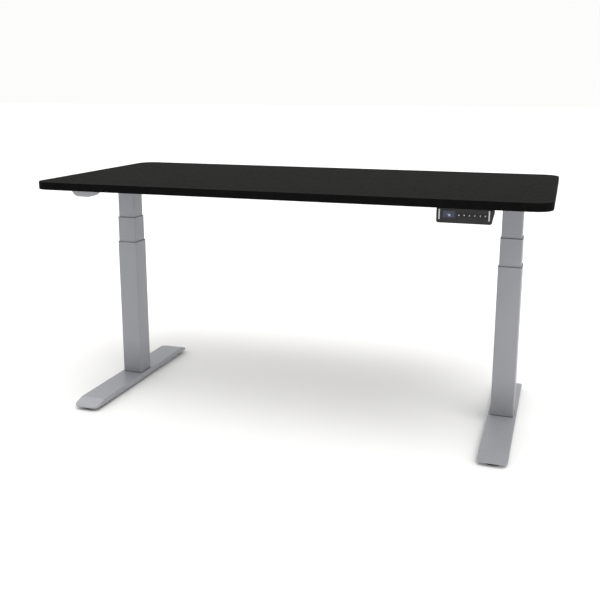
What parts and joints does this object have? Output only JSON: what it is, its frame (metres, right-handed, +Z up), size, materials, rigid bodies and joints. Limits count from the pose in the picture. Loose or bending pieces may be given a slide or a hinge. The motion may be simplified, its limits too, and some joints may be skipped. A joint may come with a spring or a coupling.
{
  "type": "height adjustable standing desk",
  "caption": "Sit-stand desk: dark rounded-corner desktop on two square telescopic columns with long flat feet and an under-edge handset.",
  "frame": {"origin": "on the floor, below the centre of the desktop", "axes": "+X along the desktop's width, towards the handset's end; +Y from the user's edge to the back; +Z up"},
  "size_m": [1.6, 0.75, 0.78],
  "materials": {
    "frame_paint": "satin silver-grey powder coat",
    "zinc": "zinc plated",
    "screw_steel": "oiled machined steel",
    "bronze": "machined bronze",
    "gear_cast": "die cast",
    "motor_black": "satin black",
    "glide_black": "moulded black plastic",
    "glide_grey": "moulded dark grey plastic",
    "desk_laminate": "fine grained charcoal laminate on particle board",
    "edge_plastic": "near-black edge band",
    "pad_rubber": "matte",
    "box_plastic": "fine moulded texture",
    "circuit_green": "solder mask",
    "inlet_black": "moulded",
    "cable_black": "matte jacket",
    "clip_black": "moulded",
    "handset_plastic": "fine moulded texture",
    "key_plastic": "smooth with white symbols",
    "display_blue": "glossy slate-blue window",
    "strip_white": "silver-white trim"
  },
  "bodies": {
    "left_base": {"left_foot": "frame_paint", "left_foot_bolts": "zinc", "left_outer_column": "frame_paint", "left_outer_glides": "glide_grey", "left_support_tube": "zinc", "left_support_nut": "bronze"},
    "left_middle": {"left_middle_column": "frame_paint", "left_middle_glides": "glide_grey", "left_guide_tube": "zinc", "left_guide_nut": "bronze"},
    "left_hollow": {"left_hollow_screw": "screw_steel"},
    "left_drive": {"left_drive_screw": "screw_steel"},
    "left_leveller_front": {"left_leveller_front": "glide_black"},
    "left_leveller_rear": {"left_leveller_rear": "glide_black"},
    "right_base": {"right_foot": "frame_paint", "right_foot_bolts": "zinc", "right_outer_column": "frame_paint", "right_outer_glides": "glide_grey", "right_support_tube": "zinc", "right_support_nut": "bronze"},
    "right_middle": {"right_middle_column": "frame_paint", "right_middle_glides": "glide_grey", "right_guide_tube": "zinc", "right_guide_nut": "bronze"},
    "right_hollow": {"right_hollow_screw": "screw_steel"},
    "right_drive": {"right_drive_screw": "screw_steel"},
    "right_leveller_front": {"right_leveller_front": "glide_black"},
    "right_leveller_rear": {"right_leveller_rear": "glide_black"},
    "top": {"left_inner_column": "frame_paint", "left_head_plate": "frame_paint", "left_gearbox": "gear_cast", "left_motor": "motor_black", "left_side_bracket": "frame_paint", "right_inner_column": "frame_paint", "right_head_plate": "frame_paint", "right_gearbox": "gear_cast", "right_motor": "motor_black", "right_side_bracket": "frame_paint", "desktop_board": "desk_laminate", "edge_band": "edge_plastic", "front_rail": "frame_paint", "rear_rail": "frame_paint", "frame_screws": "zinc", "desktop_screws": "zinc", "isolation_pads": "pad_rubber", "control_box": "box_plastic", "control_board": "circuit_green", "power_inlet": "inlet_black", "cable_harness": "cable_black", "cable_clips": "clip_black", "handset_body": "handset_plastic", "handset_panel": "handset_plastic", "display_window": "display_blue", "handset_strips": "strip_white"},
    "button_up": {"button_up": "key_plastic"},
    "button_down": {"button_down": "key_plastic"},
    "button_one": {"button_one": "key_plastic"},
    "button_two": {"button_two": "key_plastic"},
    "button_three": {"button_three": "key_plastic"},
    "button_memory": {"button_memory": "key_plastic"}
  },
  "joints": [
    {"name": "lift", "type": "slide", "parent": "left_base", "child": "left_middle", "axis": [0, 0, 1], "range_m": [-0.08, 0.235]},
    {"name": "left_upper_slide", "type": "slide", "parent": "left_middle", "child": "top", "axis": [0, 0, 1], "range_m": [-0.08, 0.235]},
    {"name": "right_upper_slide", "type": "slide", "parent": "top", "child": "right_middle", "axis": [0, 0, -1], "range_m": [-0.08, 0.235]},
    {"name": "right_lower_slide", "type": "slide", "parent": "right_middle", "child": "right_base", "axis": [0, 0, -1], "range_m": [-0.08, 0.235]},
    {"name": "left_drive_spin", "type": "hinge", "parent": "top", "child": "left_drive", "pos_m": [-0.675, 0.024, 0.5], "axis": [0, 0, 1], "range_deg": [-1800.5, 5288]},
    {"name": "left_hollow_spin", "type": "hinge", "parent": "left_middle", "child": "left_hollow", "pos_m": [-0.675, 0.024, 0.3], "axis": [0, 0, 1], "range_deg": [-1800.5, 5288]},
    {"name": "right_drive_spin", "type": "hinge", "parent": "top", "child": "right_drive", "pos_m": [0.675, 0.024, 0.5], "axis": [0, 0, 1], "range_deg": [-1800.5, 5288]},
    {"name": "right_hollow_spin", "type": "hinge", "parent": "right_middle", "child": "right_hollow", "pos_m": [0.675, 0.024, 0.3], "axis": [0, 0, 1], "range_deg": [-1800.5, 5288]},
    {"name": "left_leveller_front_screw", "type": "slide", "parent": "left_base", "child": "left_leveller_front", "axis": [0, 0, -1], "range_m": [0, 0.01]},
    {"name": "left_leveller_rear_screw", "type": "slide", "parent": "left_base", "child": "left_leveller_rear", "axis": [0, 0, -1], "range_m": [0, 0.01]},
    {"name": "right_leveller_front_screw", "type": "slide", "parent": "right_base", "child": "right_leveller_front", "axis": [0, 0, -1], "range_m": [0, 0.01]},
    {"name": "right_leveller_rear_screw", "type": "slide", "parent": "right_base", "child": "right_leveller_rear", "axis": [0, 0, -1], "range_m": [0, 0.01]},
    {"name": "press_up", "type": "slide", "parent": "top", "child": "button_up", "axis": [0, 1, 0], "range_m": [0, 0.0008], "stiffness_N_per_m": 1000},
    {"name": "press_down", "type": "slide", "parent": "top", "child": "button_down", "axis": [0, 1, 0], "range_m": [0, 0.0008], "stiffness_N_per_m": 1000},
    {"name": "press_one", "type": "slide", "parent": "top", "child": "button_one", "axis": [0, 1, 0], "range_m": [0, 0.0008], "stiffness_N_per_m": 1000},
    {"name": "press_two", "type": "slide", "parent": "top", "child": "button_two", "axis": [0, 1, 0], "range_m": [0, 0.0008], "stiffness_N_per_m": 1000},
    {"name": "press_three", "type": "slide", "parent": "top", "child": "button_three", "axis": [0, 1, 0], "range_m": [0, 0.0008], "stiffness_N_per_m": 1000},
    {"name": "press_memory", "type": "slide", "parent": "top", "child": "button_memory", "axis": [0, 1, 0], "range_m": [0, 0.0008], "stiffness_N_per_m": 1000}
  ],
  "couplings": [
    {"joint": "left_upper_slide", "follows": "lift", "ratio": 1},
    {"joint": "right_upper_slide", "follows": "lift", "ratio": 1},
    {"joint": "right_lower_slide", "follows": "lift", "ratio": 1},
    {"joint": "left_drive_spin", "follows": "lift", "rad_per_m": 392.7},
    {"joint": "left_hollow_spin", "follows": "lift", "rad_per_m": 392.7},
    {"joint": "right_drive_spin", "follows": "lift", "rad_per_m": 392.7},
    {"joint": "right_hollow_spin", "follows": "lift", "rad_per_m": 392.7}
  ]
}
